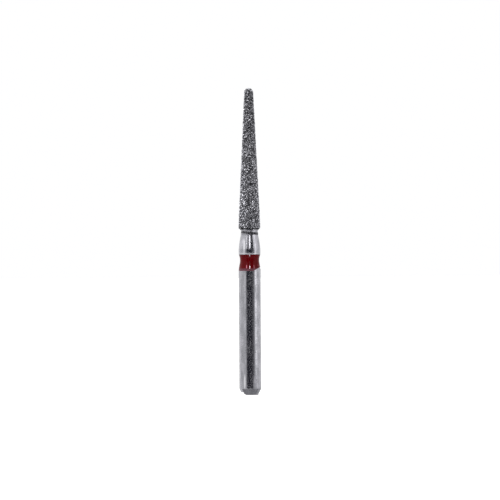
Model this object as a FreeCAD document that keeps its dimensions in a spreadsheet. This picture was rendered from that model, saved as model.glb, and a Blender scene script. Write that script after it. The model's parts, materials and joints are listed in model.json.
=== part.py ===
import FreeCAD, Part

from collections import namedtuple
import math
import os

import Sketcher

# Tapered diamond bur with a round end, on a friction-grip shank.
#
# The blank is turned from one stainless bar: shank, colour recess, guide ogive, neck and
# tapered core. The working part carries a plated coat of diamond grit, and the recess a
# band of coloured lacquer. Both follow the blank's own outline at a constant thickness.
#
# Millimetres. +Z runs along the axis from the flat end of the shank to the round tip, and
# the origin is the centre of the flat end. -X is the side with the nicked end.

# Driving sizes: name, value and what it measures
SIZES = (
    ("shank_diameter", 1.6, "parallel shank that the chuck grips"),
    ("shank_length", 9.23, "flat end to the foot of the colour recess"),
    ("end_chamfer_rise", 0.46, "chamfer at the flat end, along the shank"),
    ("end_chamfer_inset", 0.23, "chamfer at the flat end, across the shank"),
    ("end_round", 0.12, "round where that chamfer meets the shank"),
    ("nick_face_reach", 0.29, "axis to the nick, on the flat end"),
    ("nick_wall_reach", 0.47, "axis to the upright wall of the nick"),
    ("nick_bevel_rise", 0.1, "height of the nick's bevel"),
    ("nick_rise", 0.19, "height of the nick's ledge"),
    ("recess_length", 1.05, "foot to head of the colour recess"),
    ("recess_lip", 0.034, "wall at the foot of the recess"),
    ("waist_diameter", 1.306, "steel at the narrowest part of the recess"),
    ("waist_drop", 0.41, "head of the recess down to its waist"),
    ("waist_tool_radius", 1.03, "radius turned in the recess"),
    ("lacquer_thickness", 0.03, "coloured lacquer in the recess"),
    ("ogive_diameter", 1.58, "land at the foot of the ogive"),
    ("ogive_land", 0.37, "length of that land"),
    ("ogive_length", 1.42, "head of the recess to the neck"),
    ("ogive_arc_radius", 8.3, "curve of the ogive's flank"),
    ("ogive_edge_rise", 0.08, "chamfer at the foot of the ogive, along the axis"),
    ("ogive_edge_inset", 0.019, "chamfer at the foot of the ogive, across the axis"),
    ("neck_diameter", 1.272, "neck below the working part"),
    ("neck_length", 0.4, "ogive to the coated working part"),
    ("stop_groove_depth", 0.035, "groove round the neck where the plating stops"),
    ("stop_groove_radius", 0.075, "nose radius of the tool for that groove"),
    ("stop_groove_drop", 0.13, "coat down to the middle of that groove"),
    ("working_length", 10.4, "coated working part, foot to tip"),
    ("shoulder_angle", 45, "slope of the core's shoulder, in degrees"),
    ("core_diameter", 1.41, "steel core at its widest"),
    ("core_corner_round", 0.04, "round at the core's lower corner"),
    ("core_tip_radius", 0.23, "round end of the core"),
    ("coat_thickness", 0.09, "diamond grit in its nickel bond"),
    ("cut_overrun", 0.2, "how far a cutting outline runs past the metal"),
)

FULL_TURN = 360
NEAR = 1e-6
# The sketcher's numbers for an edge's points and for its own two axes, where the origin is
# the start of the first
START, END, CENTRE = range(1, 4)
H_AXIS, V_AXIS = range(-1, -3, -1)
ORIGIN = (H_AXIS, START)

# Heights on the axis that more than one sub-part uses
RECESS_HEAD = "sizes.shank_length + sizes.recess_length"
NECK_FOOT = f"{RECESS_HEAD} + sizes.ogive_length"
COAT_FOOT = f"{NECK_FOOT} + sizes.neck_length"

# Reach of a cutting outline past the shank
OUTSIDE = "sizes.shank_diameter / 2 + sizes.cut_overrun"

# Foot of the recess's flank and centre of its waist arc, both across the axis
LIP_REACH = "sizes.shank_diameter / 2 - sizes.recess_lip"
WAIST_REACH = "sizes.waist_diameter / 2 + sizes.waist_tool_radius"

# Centres of the core's corner and nose, across the axis and above the foot of the coat
CORNER_REACH = "sizes.core_diameter / 2 - sizes.core_corner_round"
NOSE_RISE = "sizes.working_length - sizes.coat_thickness - sizes.core_tip_radius"

# Points and radii of an outline that wraps the tapered core, in the outline's own order
Taper = namedtuple("Taper", "foot bend low high top corner corner_radius nose nose_radius")

# Points and radius of an outline that follows the recess, from its foot to its head
Recess = namedtuple("Recess", "low meet high centre radius")


def make_sheet(doc):
    """Writes the driving sizes into the spreadsheet, one row each, and returns them by name."""
    sheet = doc.addObject("Spreadsheet::Sheet", "sizes")
    for row, (name, value, meaning) in enumerate(SIZES, 1):
        sheet.set(f"A{row}", name)
        sheet.set(f"B{row}", str(value))
        sheet.set(f"C{row}", meaning)
        sheet.setAlias(f"B{row}", name)
    doc.recompute()
    return {name: float(sheet.get(name)) for name, _, _ in SIZES}


def make_body(doc, label):
    """Starts a sub-part."""
    body = doc.addObject("PartDesign::Body", label)
    body.Label = label
    return body


def make_sketch(body, name):
    """Starts a sketch on the body's own XZ plane: across is the radius, up is the axis."""
    sketch = body.newObject("Sketcher::SketchObject", name)
    plane = next(f for f in body.Origin.OriginFeatures if f.Role == "XZ_Plane")
    sketch.AttachmentSupport = [(plane, "")]
    sketch.MapMode = "FlatFace"
    return sketch


class Outline:
    """A closed outline, drawn in a sketch edge after edge.

    Each edge is kept as (number, start, end), where start and end are the sketcher's names
    for its two points in the order in which the outline runs through them.
    """

    def __init__(self, sketch, start):
        self.sketch = sketch
        self.at = FreeCAD.Vector(*start, 0)
        self.edges = []

    def rule(self, kind, *what):
        """Adds a constraint that has no size."""
        self.sketch.addConstraint(Sketcher.Constraint(kind, *what))

    def size(self, kind, name, formula, *what):
        """Adds a constraint whose size is a formula of the driving sizes."""
        number = self.sketch.addConstraint(Sketcher.Constraint(kind, *what))
        self.sketch.renameConstraint(number, name)
        self.sketch.setExpression(f"Constraints.{name}", formula)

    def across(self, point, name, value, formula):
        """Sets a point's distance from the axis."""
        self.size("DistanceX", name, formula, *ORIGIN, *point, value)

    def up(self, point, name, value, formula):
        """Sets a point's height above the sketch's origin."""
        self.size("DistanceY", name, formula, *ORIGIN, *point, value)

    def slope(self, edge, name, value, formula):
        """Sets a straight edge's angle above the horizontal, in degrees."""
        self.size("Angle", name, formula, edge[0], math.radians(value))

    def radius(self, edge, name, value, formula):
        """Sets an arc's radius."""
        self.size("Radius", name, formula, edge[0], value)

    def line(self, end, lies=None, smooth=False):
        """Draws a straight edge to a point. lies is Horizontal, Vertical or None."""
        target = FreeCAD.Vector(*end, 0)
        number = self.sketch.addGeometry(Part.LineSegment(self.at, target), False)
        if lies:
            self.rule(lies, number)
        return self._add((number, START, END), target, smooth)

    def arc(self, centre, end, turns_left=True, smooth=False):
        """Draws an arc to a point, to the left or to the right about its centre."""
        middle = FreeCAD.Vector(*centre, 0)
        target = FreeCAD.Vector(*end, 0)
        circle = Part.Circle(middle, FreeCAD.Vector(0, 0, 1), (self.at - middle).Length)
        begin, stop = (self.at, target) if turns_left else (target, self.at)
        angles = [math.atan2(p.y - middle.y, p.x - middle.x) for p in (begin, stop)]
        if angles[1] < angles[0]:
            angles[1] += 2 * math.pi
        number = self.sketch.addGeometry(Part.ArcOfCircle(circle, *angles), False)
        ends = (START, END) if turns_left else (END, START)
        return self._add((number, *ends), target, smooth)

    def circle(self, radius):
        """Draws a whole circle about the start, an outline of its own."""
        circle = Part.Circle(self.at, FreeCAD.Vector(0, 0, 1), radius)
        return self._add((self.sketch.addGeometry(circle, False), START, END), self.at, False)

    def close(self):
        """Joins the last edge to the first."""
        last, first = self.edges[-1], self.edges[0]
        self.rule("Coincident", last[0], last[2], first[0], first[1])

    def _add(self, edge, target, smooth):
        if self.edges:
            before = self.edges[-1]
            kind = "Tangent" if smooth else "Coincident"
            self.rule(kind, before[0], before[2], edge[0], edge[1])
        self.edges.append(edge)
        self.at = target
        return edge


def finish_point(edge):
    """The point where an edge of an outline ends."""
    return edge[0], edge[2]


def centre_of(edge):
    """The centre of an arc of an outline."""
    return edge[0], CENTRE


def taper(s, coat_foot, growth):
    """Works out the outline that wraps the tapered core at a distance outside it.

    coat_foot is the height where the coat starts on the neck. The outline leaves the neck
    at foot, climbs the shoulder to bend, rounds the corner to low, follows the straight
    flank to high and rounds the nose to top.
    """
    slope = math.radians(s["shoulder_angle"])
    across = s["core_diameter"] / 2 - s["core_corner_round"]
    step = (across - s["neck_diameter"] / 2) * math.sin(slope)
    outermost = s["core_corner_round"] + s["coat_thickness"]
    corner = (across, coat_foot + (outermost + step) / math.cos(slope))
    nose = (0, coat_foot + s["working_length"] - s["coat_thickness"] - s["core_tip_radius"])
    corner_radius = s["core_corner_round"] + growth
    nose_radius = s["core_tip_radius"] + growth

    apart = math.hypot(corner[0], nose[1] - corner[1])
    lean = math.acos((nose_radius - corner_radius) / apart)
    lean -= math.atan2(nose[1] - corner[1], corner[0])

    def touch(centre, radius, angle):
        return centre[0] + radius * math.cos(angle), centre[1] + radius * math.sin(angle)

    return Taper(
        foot=(s["neck_diameter"] / 2, corner[1] - (corner_radius + step) / math.cos(slope)),
        bend=touch(corner, corner_radius, slope - math.pi / 2),
        low=touch(corner, corner_radius, lean),
        high=touch(nose, nose_radius, lean),
        top=touch(nose, nose_radius, math.pi / 2),
        corner=corner,
        corner_radius=corner_radius,
        nose=nose,
        nose_radius=nose_radius,
    )


def recess_curve(s, foot, growth):
    """Works out the outline that follows the recess at a distance above the steel.

    foot is the height of the recess's foot. The outline starts at low, climbs the straight
    flank to meet and runs round the waist to high.
    """
    centre = (
        s["waist_diameter"] / 2 + s["waist_tool_radius"],
        foot + s["recess_length"] - s["waist_drop"],
    )
    steel_foot = (s["shank_diameter"] / 2 - s["recess_lip"], foot)
    dx, dy = centre[0] - steel_foot[0], centre[1] - steel_foot[1]
    turn = math.asin(s["waist_tool_radius"] / math.hypot(dx, dy))
    lean = turn - math.atan2(dx, dy)
    radius = s["waist_tool_radius"] - growth
    low = (steel_foot[0] + growth / math.cos(lean), foot)
    meet = (centre[0] - radius * math.cos(lean), centre[1] - radius * math.sin(lean))
    high = (centre[0] - math.sqrt(radius**2 - s["waist_drop"] ** 2), foot + s["recess_length"])
    return Recess(low, meet, high, centre, radius)


def revolve(body, sketch, kind, name):
    """Turns a sketch about its upright axis, as metal (Revolution) or as a cut (Groove)."""
    feature = body.newObject(f"PartDesign::{kind}", name)
    feature.Profile = sketch
    feature.ReferenceAxis = (sketch, ["V_Axis"])
    feature.Angle = FULL_TURN
    return feature


def rim(feature, radius, height):
    """Names the round edge with this radius at this height on the axis."""
    for number, edge in enumerate(feature.Shape.Edges, 1):
        curve = edge.Curve
        if not isinstance(curve, Part.Circle):
            continue
        if abs(curve.Radius - radius) < NEAR and abs(curve.Center.z - height) < NEAR:
            return f"Edge{number}"
    raise RuntimeError(f"{feature.Label}: no round edge of {radius} mm at {height} mm")


def chamfer(doc, body, name, edge, rise, inset, flip):
    """Cuts a chamfer with one size along the axis and another across it."""
    base = body.Tip
    feature = body.newObject("PartDesign::Chamfer", name)
    feature.Base = (base, [edge])
    feature.ChamferType = "Two distances"
    feature.FlipDirection = flip
    feature.setExpression("Size", f"sizes.{rise}")
    feature.setExpression("Size2", f"sizes.{inset}")
    doc.recompute()
    return feature


def must_cut(before, feature):
    """Makes sure that a cutting feature took metal away."""
    if not feature.Shape.Volume < before - NEAR:
        raise RuntimeError(f"{feature.Label} cuts nothing")


def draw_blank(body, s):
    """Draws the blank's half outline, as bar stock with its taper but no recess."""
    shank = s["shank_diameter"] / 2
    ogive = s["ogive_diameter"] / 2
    neck = s["neck_diameter"] / 2
    recess_head = s["shank_length"] + s["recess_length"]
    land_head = recess_head + s["ogive_land"]
    neck_foot = recess_head + s["ogive_length"]
    core = taper(s, neck_foot + s["neck_length"], 0)

    sketch = make_sketch(body, "blank_outline")
    o = Outline(sketch, (0, 0))
    flat_end = o.line((shank, 0), "Horizontal")
    side = o.line((shank, recess_head), "Vertical")
    o.line((ogive, recess_head), "Horizontal")
    land = o.line((ogive, land_head), "Vertical")
    middle = chord_centre((ogive, land_head), (neck, neck_foot), s["ogive_arc_radius"])
    curve = o.arc(middle, (neck, neck_foot))
    throat = o.line(core.foot, "Vertical")
    shoulder = o.line(core.bend)
    bend = o.arc(core.corner, core.low, smooth=True)
    o.line(core.high, smooth=True)
    tip = o.arc(core.nose, core.top, smooth=True)
    o.line((0, 0), "Vertical")
    o.close()

    o.rule("Coincident", flat_end[0], flat_end[1], *ORIGIN)
    o.rule("PointOnObject", *centre_of(tip), V_AXIS)
    o.across(finish_point(side), "shank_radius", shank, "sizes.shank_diameter / 2")
    o.across(finish_point(land), "ogive_radius", ogive, "sizes.ogive_diameter / 2")
    o.across(finish_point(throat), "neck_radius", neck, "sizes.neck_diameter / 2")
    o.across(centre_of(bend), "corner_centre", core.corner[0], CORNER_REACH)
    o.up(finish_point(side), "recess_head", recess_head, RECESS_HEAD)
    o.up(finish_point(land), "land_head", land_head, f"{RECESS_HEAD} + sizes.ogive_land")
    o.up(finish_point(curve), "neck_foot", neck_foot, NECK_FOOT)
    o.up(
        finish_point(throat),
        "shoulder_foot",
        core.foot[1],
        f"{COAT_FOOT} + sizes.coat_thickness / cos(sizes.shoulder_angle)",
    )
    o.up(centre_of(tip), "nose_centre", core.nose[1], f"{COAT_FOOT} + {NOSE_RISE}")
    o.slope(shoulder, "shoulder_slope", s["shoulder_angle"], "sizes.shoulder_angle")
    o.radius(curve, "ogive_arc", s["ogive_arc_radius"], "sizes.ogive_arc_radius")
    o.radius(bend, "corner", core.corner_radius, "sizes.core_corner_round")
    o.radius(tip, "nose", core.nose_radius, "sizes.core_tip_radius")
    return sketch


def chord_centre(low, high, radius):
    """Finds the centre, on the axis side, of an arc of this radius between two points."""
    dx, dy = high[0] - low[0], high[1] - low[1]
    chord = math.hypot(dx, dy)
    reach = math.sqrt(radius**2 - (chord / 2) ** 2)
    return (
        (low[0] + high[0]) / 2 - dy / chord * reach,
        (low[1] + high[1]) / 2 + dx / chord * reach,
    )


def draw_recess(body, s):
    """Draws the cutting outline of the colour recess, which runs past the shank outside."""
    foot, head = s["shank_length"], s["shank_length"] + s["recess_length"]
    steel = recess_curve(s, foot, 0)
    outside = s["shank_diameter"] / 2 + s["cut_overrun"]

    sketch = make_sketch(body, "recess_outline")
    o = Outline(sketch, (outside, foot))
    lip = o.line(steel.low, "Horizontal")
    o.line(steel.meet)
    waist = o.arc(steel.centre, steel.high, turns_left=False, smooth=True)
    top = o.line((outside, head), "Horizontal")
    o.line((outside, foot), "Vertical")
    o.close()

    o.across(finish_point(lip), "lip_reach", steel.low[0], LIP_REACH)
    o.across(finish_point(top), "outside", outside, OUTSIDE)
    o.across(centre_of(waist), "waist_centre_out", steel.centre[0], WAIST_REACH)
    o.up(finish_point(lip), "foot", foot, "sizes.shank_length")
    o.up(finish_point(top), "head", head, RECESS_HEAD)
    waist_rise = f"{RECESS_HEAD} - sizes.waist_drop"
    o.up(centre_of(waist), "waist_centre_up", steel.centre[1], waist_rise)
    o.radius(waist, "waist", steel.radius, "sizes.waist_tool_radius")
    return sketch


def draw_stop_groove(body, s):
    """Draws the round-nosed tool that cuts the plating stop into the neck."""
    centre = (
        s["neck_diameter"] / 2 - s["stop_groove_depth"] + s["stop_groove_radius"],
        s["shank_length"]
        + s["recess_length"]
        + s["ogive_length"]
        + s["neck_length"]
        - s["stop_groove_drop"],
    )
    sketch = make_sketch(body, "stop_groove_outline")
    o = Outline(sketch, centre)
    tool = o.circle(s["stop_groove_radius"])
    o.radius(tool, "nose", s["stop_groove_radius"], "sizes.stop_groove_radius")
    o.across(
        centre_of(tool),
        "out",
        centre[0],
        "sizes.neck_diameter / 2 - sizes.stop_groove_depth + sizes.stop_groove_radius",
    )
    o.up(centre_of(tool), "up", centre[1], f"{COAT_FOOT} - sizes.stop_groove_drop")
    return sketch


def draw_nick(body, s):
    """Draws the side view of the nick that is broken out of the flat end's -X edge."""
    face, wall = s["nick_face_reach"], s["nick_wall_reach"]
    outside = s["shank_diameter"] / 2 + s["cut_overrun"]
    below = s["cut_overrun"]

    sketch = make_sketch(body, "nick_outline")
    o = Outline(sketch, (-face, 0))
    bevel = o.line((-wall, s["nick_bevel_rise"]))
    o.line((-wall, s["nick_rise"]), "Vertical")
    ledge = o.line((-outside, s["nick_rise"]), "Horizontal")
    drop = o.line((-outside, -below), "Vertical")
    o.line((-face, -below), "Horizontal")
    o.line((-face, 0), "Vertical")
    o.close()

    o.rule("PointOnObject", bevel[0], bevel[1], H_AXIS)
    o.size("DistanceX", "face", "sizes.nick_face_reach", bevel[0], bevel[1], *ORIGIN, face)
    o.size("DistanceX", "wall", "sizes.nick_wall_reach", *finish_point(bevel), *ORIGIN, wall)
    o.size("DistanceX", "outside", OUTSIDE, *finish_point(ledge), *ORIGIN, outside)
    o.size("DistanceY", "below", "sizes.cut_overrun", *finish_point(drop), *ORIGIN, below)
    o.up(finish_point(bevel), "bevel", s["nick_bevel_rise"], "sizes.nick_bevel_rise")
    o.up(finish_point(ledge), "rise", s["nick_rise"], "sizes.nick_rise")
    return sketch


def make_steel_blank(doc, s):
    """The one-piece turned blank: shank, recess, ogive, neck and tapered core."""
    body = make_body(doc, "steel_blank")
    revolve(body, draw_blank(body, s), "Revolution", "turned_form")
    doc.recompute()

    for draw, name in ((draw_recess, "colour_recess"), (draw_stop_groove, "plating_stop")):
        before = body.Shape.Volume
        cut = revolve(body, draw(body, s), "Groove", name)
        doc.recompute()
        must_cut(before, cut)

    recess_head = s["shank_length"] + s["recess_length"]
    foot = rim(body.Tip, s["ogive_diameter"] / 2, recess_head)
    chamfer(doc, body, "ogive_edge", foot, "ogive_edge_rise", "ogive_edge_inset", True)

    heel = rim(body.Tip, s["shank_diameter"] / 2, 0)
    chamfer(doc, body, "shank_end", heel, "end_chamfer_rise", "end_chamfer_inset", False)

    base = body.Tip
    corner = rim(base, s["shank_diameter"] / 2, s["end_chamfer_rise"])
    softened = body.newObject("PartDesign::Fillet", "end_corner")
    softened.Base = (base, [corner])
    softened.setExpression("Radius", "sizes.end_round")
    doc.recompute()

    before = body.Shape.Volume
    outline = draw_nick(body, s)
    nick = body.newObject("PartDesign::Pocket", "end_nick")
    nick.Profile = outline
    nick.Type = "ThroughAll"
    nick.Midplane = True
    doc.recompute()
    must_cut(before, nick)
    return body


def make_diamond_coat(doc, s):
    """The plated coat: it wraps the core and its shoulder, down to the neck."""
    coat = s["coat_thickness"]
    inner, outer = taper(s, 0, 0), taper(s, 0, coat)

    body = make_body(doc, "diamond_coat")
    sketch = make_sketch(body, "coat_section")
    o = Outline(sketch, outer.foot)
    outer_shoulder = o.line(outer.bend)
    outer_bend = o.arc(outer.corner, outer.low, smooth=True)
    o.line(outer.high, smooth=True)
    outer_tip = o.arc(outer.nose, outer.top, smooth=True)
    o.line(inner.top, "Vertical")
    inner_tip = o.arc(inner.nose, inner.high, turns_left=False)
    o.line(inner.low, smooth=True)
    inner_bend = o.arc(inner.corner, inner.bend, turns_left=False, smooth=True)
    inner_shoulder = o.line(inner.foot, smooth=True)
    o.line(outer.foot, "Vertical")
    o.close()

    foot = (outer_shoulder[0], outer_shoulder[1])
    o.rule("PointOnObject", *foot, H_AXIS)
    o.rule("PointOnObject", *finish_point(outer_tip), V_AXIS)
    o.rule("PointOnObject", *centre_of(outer_tip), V_AXIS)
    o.rule("Coincident", *centre_of(outer_tip), *centre_of(inner_tip))
    o.rule("Coincident", *centre_of(outer_bend), *centre_of(inner_bend))
    o.rule("Parallel", outer_shoulder[0], inner_shoulder[0])
    o.across(foot, "neck_radius", outer.foot[0], "sizes.neck_diameter / 2")
    o.across(centre_of(outer_bend), "corner_centre", outer.corner[0], CORNER_REACH)
    o.up(centre_of(outer_tip), "nose_centre", outer.nose[1], NOSE_RISE)
    o.slope(outer_shoulder, "shoulder_slope", s["shoulder_angle"], "sizes.shoulder_angle")
    corner_formula, tip_formula = "sizes.core_corner_round", "sizes.core_tip_radius"
    grown = " + sizes.coat_thickness"
    o.radius(inner_bend, "inner_corner", inner.corner_radius, corner_formula)
    o.radius(outer_bend, "outer_corner", outer.corner_radius, corner_formula + grown)
    o.radius(inner_tip, "inner_nose", inner.nose_radius, tip_formula)
    o.radius(outer_tip, "outer_nose", outer.nose_radius, tip_formula + grown)
    revolve(body, sketch, "Revolution", "coat_shell")
    body.setExpression("Placement.Base.z", COAT_FOOT)
    doc.recompute()
    return body


def make_colour_ring(doc, s):
    """The band of lacquer: it fills the recess from lip to lip at a constant thickness."""
    inner, outer = recess_curve(s, 0, 0), recess_curve(s, 0, s["lacquer_thickness"])

    body = make_body(doc, "colour_ring")
    sketch = make_sketch(body, "band_section")
    o = Outline(sketch, inner.low)
    foot = o.line(outer.low, "Horizontal")
    outer_flank = o.line(outer.meet)
    outer_waist = o.arc(outer.centre, outer.high, turns_left=False, smooth=True)
    head = o.line(inner.high, "Horizontal")
    inner_waist = o.arc(inner.centre, inner.meet)
    inner_flank = o.line(inner.low, smooth=True)
    o.close()

    o.rule("PointOnObject", foot[0], foot[1], H_AXIS)
    o.rule("Coincident", *centre_of(outer_waist), *centre_of(inner_waist))
    o.rule("Parallel", outer_flank[0], inner_flank[0])
    waist_rise = "sizes.recess_length - sizes.waist_drop"
    o.across((foot[0], foot[1]), "lip_reach", inner.low[0], LIP_REACH)
    o.across(centre_of(outer_waist), "waist_centre_out", outer.centre[0], WAIST_REACH)
    o.up(centre_of(outer_waist), "waist_centre_up", outer.centre[1], waist_rise)
    o.up(finish_point(head), "head", s["recess_length"], "sizes.recess_length")
    tool_formula = "sizes.waist_tool_radius"
    shrunk = " - sizes.lacquer_thickness"
    o.radius(inner_waist, "steel_waist", inner.radius, tool_formula)
    o.radius(outer_waist, "lacquer_waist", outer.radius, tool_formula + shrunk)
    revolve(body, sketch, "Revolution", "lacquer_band")
    body.setExpression("Placement.Base.z", "sizes.shank_length")
    doc.recompute()
    return body


def check(doc, bodies):
    """Stops the build if any object failed, a sketch is loose or a sub-part is no solid."""
    for thing in doc.Objects:
        if {"Invalid", "Error"} & set(thing.State):
            raise RuntimeError(f"{thing.Label} failed: {thing.State}")
        if thing.TypeId == "Sketcher::SketchObject" and not thing.FullyConstrained:
            raise RuntimeError(f"{thing.Label} isn't fully constrained")
    for body in bodies:
        shape = body.Shape
        if shape.isNull() or not shape.isValid() or len(shape.Solids) != 1:
            raise RuntimeError(f"{body.Label} isn't one valid solid")


def main():
    """Builds the three sub-parts and writes one STEP file for each."""
    doc = FreeCAD.newDocument("dental_bur")
    sizes = make_sheet(doc)
    bodies = [make(doc, sizes) for make in (make_steel_blank, make_diamond_coat, make_colour_ring)]
    doc.recompute()
    check(doc, bodies)
    os.makedirs("parts", exist_ok=True)
    for body in bodies:
        box = body.Shape.optimalBoundingBox()
        body.Shape.exportStep(os.path.join("parts", f"{body.Label}.step"))
        print(
            f"{body.Label}: {body.Shape.Volume:.4f} mm3,"
            f" {box.XLength:.3f} across, {box.ZMin:.3f} to {box.ZMax:.3f} up"
        )


main()
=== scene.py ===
"""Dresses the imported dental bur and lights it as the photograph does.

The bur is one turned piece of stainless steel with a friction-grip shank, a colour recess,
a guide ogive, a neck and a long taper. Diamond grit in electroplated nickel covers the
taper, and a band of red lacquer fills the recess.

Pieces are modelled in millimetres and brought to metres when they are finished. +Z runs
from the flat end of the shank to the tip, -Y faces the camera and +X is on its right.
"""

import json
import logging
import math
from collections.abc import Callable, Mapping, Sequence
from dataclasses import dataclass
from enum import Enum

import bmesh
import bpy
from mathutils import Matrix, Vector

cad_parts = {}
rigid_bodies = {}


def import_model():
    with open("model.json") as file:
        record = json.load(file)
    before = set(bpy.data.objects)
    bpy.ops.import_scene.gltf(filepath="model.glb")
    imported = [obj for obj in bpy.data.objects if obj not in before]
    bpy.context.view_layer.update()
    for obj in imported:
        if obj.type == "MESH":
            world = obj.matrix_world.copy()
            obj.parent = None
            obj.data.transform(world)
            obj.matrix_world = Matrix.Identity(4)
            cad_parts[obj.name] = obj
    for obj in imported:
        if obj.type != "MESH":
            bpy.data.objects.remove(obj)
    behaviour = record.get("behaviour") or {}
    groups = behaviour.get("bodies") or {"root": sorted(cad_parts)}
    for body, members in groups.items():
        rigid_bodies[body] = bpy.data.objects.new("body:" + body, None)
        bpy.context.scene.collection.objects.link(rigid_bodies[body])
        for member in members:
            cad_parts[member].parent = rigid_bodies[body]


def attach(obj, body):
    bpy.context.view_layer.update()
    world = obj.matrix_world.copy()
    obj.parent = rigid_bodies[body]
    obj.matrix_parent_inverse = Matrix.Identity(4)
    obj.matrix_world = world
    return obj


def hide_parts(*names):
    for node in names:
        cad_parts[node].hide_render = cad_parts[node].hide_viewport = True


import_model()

LOG = logging.getLogger("dental_bur")

MM = 0.001
FULL_TURN = 2 * math.pi
MERGE_DISTANCE = 1e-5
SMOOTH_BELOW = math.radians(10)
ROOT_BODY = "root"
# A face looks along an axis when its normal has at least this much of it
ALONG_AXIS = 0.9
# A patch is full up to the first share of its reach, and gone from the second on
PATCH_FADE = (0.55, 1.1)


class Ends(Enum):
    """How a turned mesh closes."""

    SOLID = "a disc fills its first ring, and it ends in a pole"
    OPEN = "its first ring stays open, and it ends in a pole"
    LOOP = "its last ring joins its first, as on a hollow ring"


class Facing(Enum):
    """The sides of a cutting plane that can be thrown away."""

    NEITHER = "neither"
    BEHIND = "behind"


@dataclass(frozen=True)
class Stop:
    """One ring of a turned outline: its radius and its height, in millimetres."""

    radius: float
    height: float


@dataclass(frozen=True)
class Shade:
    """An sRGB colour, written as six hex digits."""

    code: str

    def linear(self) -> tuple[float, float, float, float]:
        """Turns the colour to linear light by the sRGB curve.

        Returns:
            Red, green, blue and alpha.
        """
        parts = [int(self.code[i : i + 2], 16) / 255 for i in (0, 2, 4)]
        light = [c / 12.92 if c <= 0.04045 else ((c + 0.055) / 1.055) ** 2.4 for c in parts]
        return (*light, 1.0)


def add_node(
    tree: bpy.types.NodeTree,
    kind: str,
    sockets: Mapping[int | str, object] | None = None,
    **settings: object,
) -> bpy.types.Node:
    """Adds a node with its settings, socket values and links.

    Args:
        tree: The tree that gets the node.
        kind: Blender's own name for the type of node.
        sockets: What its inputs get, by name or number. An output is linked, a node stands
            for its first output, and anything else is set as the input's value.
        settings: The node's properties.

    Returns:
        The new node.
    """
    node = tree.nodes.new(kind)
    for name, value in settings.items():
        setattr(node, name, value)
    for name, value in (sockets or {}).items():
        source = value.outputs[0] if isinstance(value, bpy.types.Node) else value
        if isinstance(source, bpy.types.NodeSocket):
            tree.links.new(source, node.inputs[name])
        else:
            node.inputs[name].default_value = source
    return node


def object_millimetres(
    tree: bpy.types.NodeTree, stretch: Sequence[float] = (1, 1, 1)
) -> bpy.types.NodeSocket:
    """Adds the piece's own coordinates, in millimetres.

    Args:
        tree: The material's tree.
        stretch: How often a pattern repeats across, deep and up, as a share of its scale.

    Returns:
        The output that carries the coordinates.
    """
    place = add_node(tree, "ShaderNodeTexCoord")
    scale = [share / MM for share in stretch]
    mapping = add_node(
        tree, "ShaderNodeMapping", {"Vector": place.outputs["Object"], "Scale": scale}
    )
    return mapping.outputs["Vector"]


@dataclass(frozen=True)
class Patch:
    """A small place where a finish differs: its middle, its half sizes and how far it differs.

    Sizes are in millimetres, and the last number runs from 0 to 1.
    """

    middle: tuple[float, float, float]
    reach: tuple[float, float, float]
    strength: float


def patch_mask(
    tree: bpy.types.NodeTree, place: bpy.types.NodeSocket, patches: Sequence[Patch]
) -> bpy.types.NodeSocket:
    """Adds the mask of a finish's patches.

    Args:
        tree: The material's tree.
        place: The piece's coordinates, in millimetres.
        patches: The patches, one or more.

    Returns:
        The output that is a patch's strength on it, and 0 off them all.
    """
    full, gone = PATCH_FADE
    total: bpy.types.NodeSocket | float = 0.0
    for patch in patches:
        offset = add_node(
            tree, "ShaderNodeVectorMath", {0: place, 1: patch.middle}, operation="SUBTRACT"
        )
        share = add_node(
            tree, "ShaderNodeVectorMath", {0: offset, 1: patch.reach}, operation="DIVIDE"
        )
        distance = add_node(tree, "ShaderNodeVectorMath", {0: share}, operation="LENGTH")
        mask = add_node(
            tree,
            "ShaderNodeMapRange",
            {0: distance.outputs["Value"], 1: full, 2: gone, 3: patch.strength, 4: 0.0},
            interpolation_type="SMOOTHSTEP",
        )
        joined = add_node(tree, "ShaderNodeMath", {0: mask, 1: total}, operation="MAXIMUM")
        total = joined.outputs[0]
    return total


def seen_directly(tree: bpy.types.NodeTree) -> bpy.types.NodeSocket:
    """Adds the test for rays that show a surface: straight, mirrored or through glass.

    Args:
        tree: The tree that gets the nodes.

    Returns:
        The output that is 1 for such a ray and 0 for light on its way to the object.
    """
    path = add_node(tree, "ShaderNodeLightPath")
    direct = add_node(
        tree,
        "ShaderNodeMath",
        {0: path.outputs["Is Camera Ray"], 1: path.outputs["Is Glossy Ray"]},
        operation="MAXIMUM",
    )
    either = add_node(
        tree,
        "ShaderNodeMath",
        {0: direct, 1: path.outputs["Is Transmission Ray"]},
        operation="MAXIMUM",
    )
    return either.outputs[0]


class Finish:
    """What every finish below shares: a name, and a shader that it draws itself."""

    name: str

    def make(self) -> bpy.types.Material:
        """Makes the finish's material.

        Returns:
            The material, with the finish's own shader as its surface.
        """
        material = bpy.data.materials.new(self.name)
        material.use_nodes = True
        tree = material.node_tree
        tree.nodes.clear()
        add_node(tree, "ShaderNodeOutputMaterial", {"Surface": self.shader(tree)})
        return material

    def shader(self, tree: bpy.types.NodeTree) -> bpy.types.Node:
        """Adds the finish's nodes to a material's tree and returns its shader."""
        raise NotImplementedError


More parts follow.
